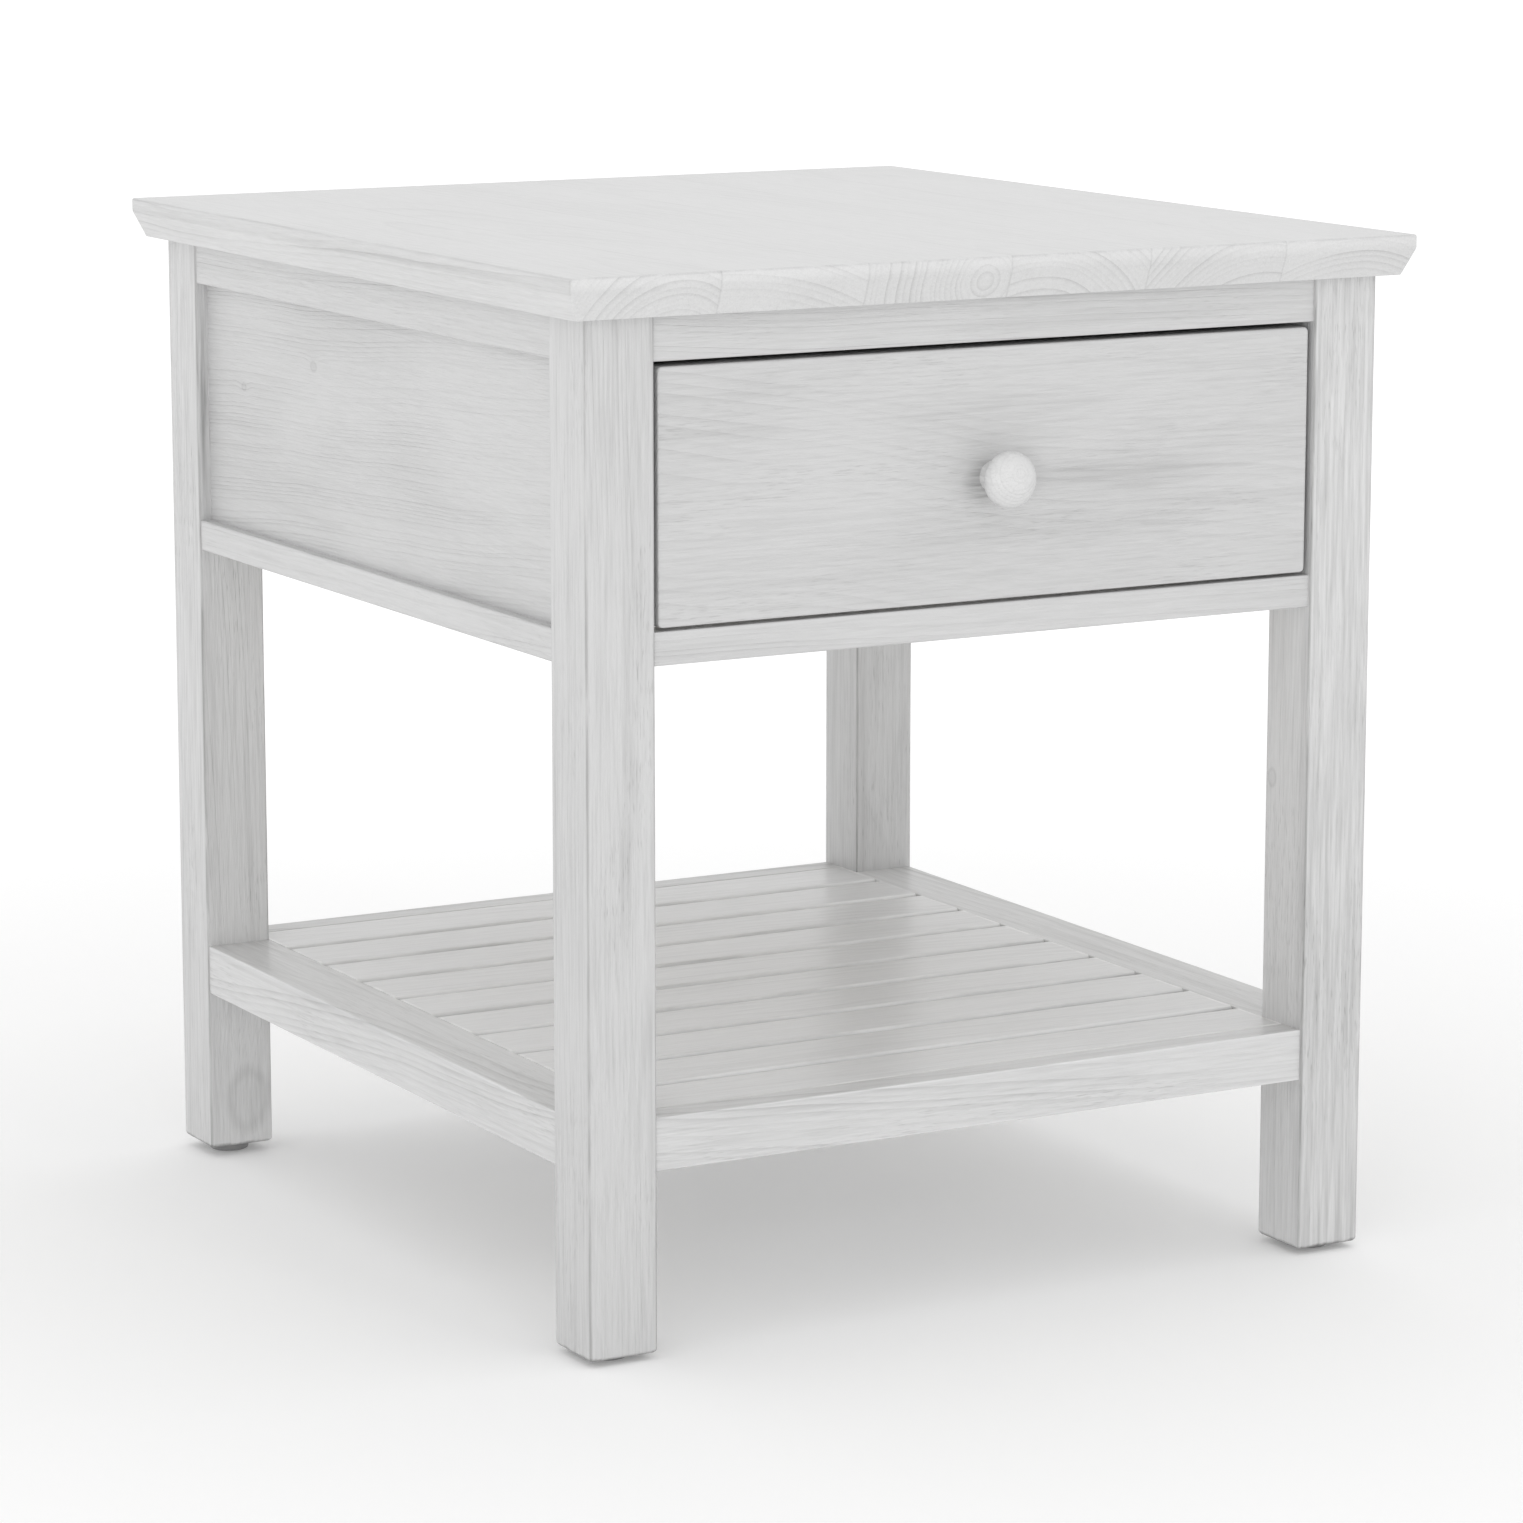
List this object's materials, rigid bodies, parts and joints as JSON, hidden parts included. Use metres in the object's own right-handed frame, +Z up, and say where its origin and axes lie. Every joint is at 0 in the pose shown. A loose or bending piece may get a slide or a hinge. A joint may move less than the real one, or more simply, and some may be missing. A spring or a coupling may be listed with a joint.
{
  "type": "side table",
  "caption": "Square side table with an inset drawer on ball-bearing slides, panelled sides and a slatted lower shelf.",
  "frame": {"origin": "on the floor, midway between the four legs", "axes": "+Z up; the drawer faces -Y and pulls out along -Y; +X is to the right of someone facing the drawer"},
  "size_m": [0.558, 0.619, 0.616],
  "materials": {
    "whitewashed_wood": "whitewashed, wire-brushed pine with a thin grey glaze in the grain",
    "whitewashed_turned_wood": "whitewashed turned wood",
    "plain_wood": "planed softwood, unfinished",
    "drawer_box_wood": "planed pine, clear sealed",
    "drawer_bottom_board": "thin plywood, clear sealed",
    "slide_steel": "zinc-plated sheet steel",
    "ball_steel": "polished bearing balls",
    "screw_steel": "zinc-plated screws",
    "bumper_rubber": "black rubber",
    "glide_plastic": "dark moulded plastic"
  },
  "bodies": {
    "table": {"back_left_leg": "whitewashed_wood", "back_low_rail": "whitewashed_wood", "back_panel": "whitewashed_wood", "back_right_leg": "whitewashed_wood", "back_top_rail": "whitewashed_wood", "case_slide_screws": "screw_steel", "foot_glides": "glide_plastic", "frame_screws": "screw_steel", "front_left_leg": "whitewashed_wood", "front_low_rail": "whitewashed_wood", "front_right_leg": "whitewashed_wood", "front_top_rail": "whitewashed_wood", "left_side_low_rail": "whitewashed_wood", "left_side_panel": "whitewashed_wood", "left_side_top_rail": "whitewashed_wood", "left_slide_batten": "plain_wood", "left_slide_case_member": "slide_steel", "left_top_cleat": "plain_wood", "right_side_low_rail": "whitewashed_wood", "right_side_panel": "whitewashed_wood", "right_side_top_rail": "whitewashed_wood", "right_slide_batten": "plain_wood", "right_slide_case_member": "slide_steel", "right_top_cleat": "plain_wood", "shelf_back_rail": "whitewashed_wood", "shelf_front_rail": "whitewashed_wood", "shelf_left_cleat": "plain_wood", "shelf_left_rail": "whitewashed_wood", "shelf_right_cleat": "plain_wood", "shelf_right_rail": "whitewashed_wood", "shelf_slat_01": "whitewashed_wood", "shelf_slat_02": "whitewashed_wood", "shelf_slat_03": "whitewashed_wood", "shelf_slat_04": "whitewashed_wood", "shelf_slat_05": "whitewashed_wood", "shelf_slat_06": "whitewashed_wood", "shelf_slat_07": "whitewashed_wood", "shelf_slat_08": "whitewashed_wood", "shelf_slat_09": "whitewashed_wood", "shelf_slat_10": "whitewashed_wood", "slide_bumpers": "bumper_rubber", "tabletop": "whitewashed_wood"},
    "drawer": {"drawer_bottom": "drawer_bottom_board", "drawer_box_back": "drawer_box_wood", "drawer_box_front": "drawer_box_wood", "drawer_front": "whitewashed_wood", "drawer_front_screws": "screw_steel", "drawer_knob": "whitewashed_turned_wood", "drawer_left_side": "drawer_box_wood", "drawer_right_side": "drawer_box_wood", "drawer_slide_screws": "screw_steel", "knob_screw": "screw_steel", "left_slide_drawer_member": "slide_steel", "right_slide_drawer_member": "slide_steel"},
    "ball_cages": {"left_ball_cage": "slide_steel", "right_ball_cage": "slide_steel", "slide_balls": "ball_steel"}
  },
  "joints": [
    {"name": "drawer_slide", "type": "slide", "parent": "table", "child": "drawer", "axis": [0, -1, 0], "range_m": [0, 0.34]},
    {"name": "cage_roll", "type": "slide", "parent": "table", "child": "ball_cages", "axis": [0, -1, 0], "range_m": [0, 0.17]}
  ],
  "couplings": [
    {"joint": "cage_roll", "follows": "drawer_slide", "ratio": 0.5}
  ]
}
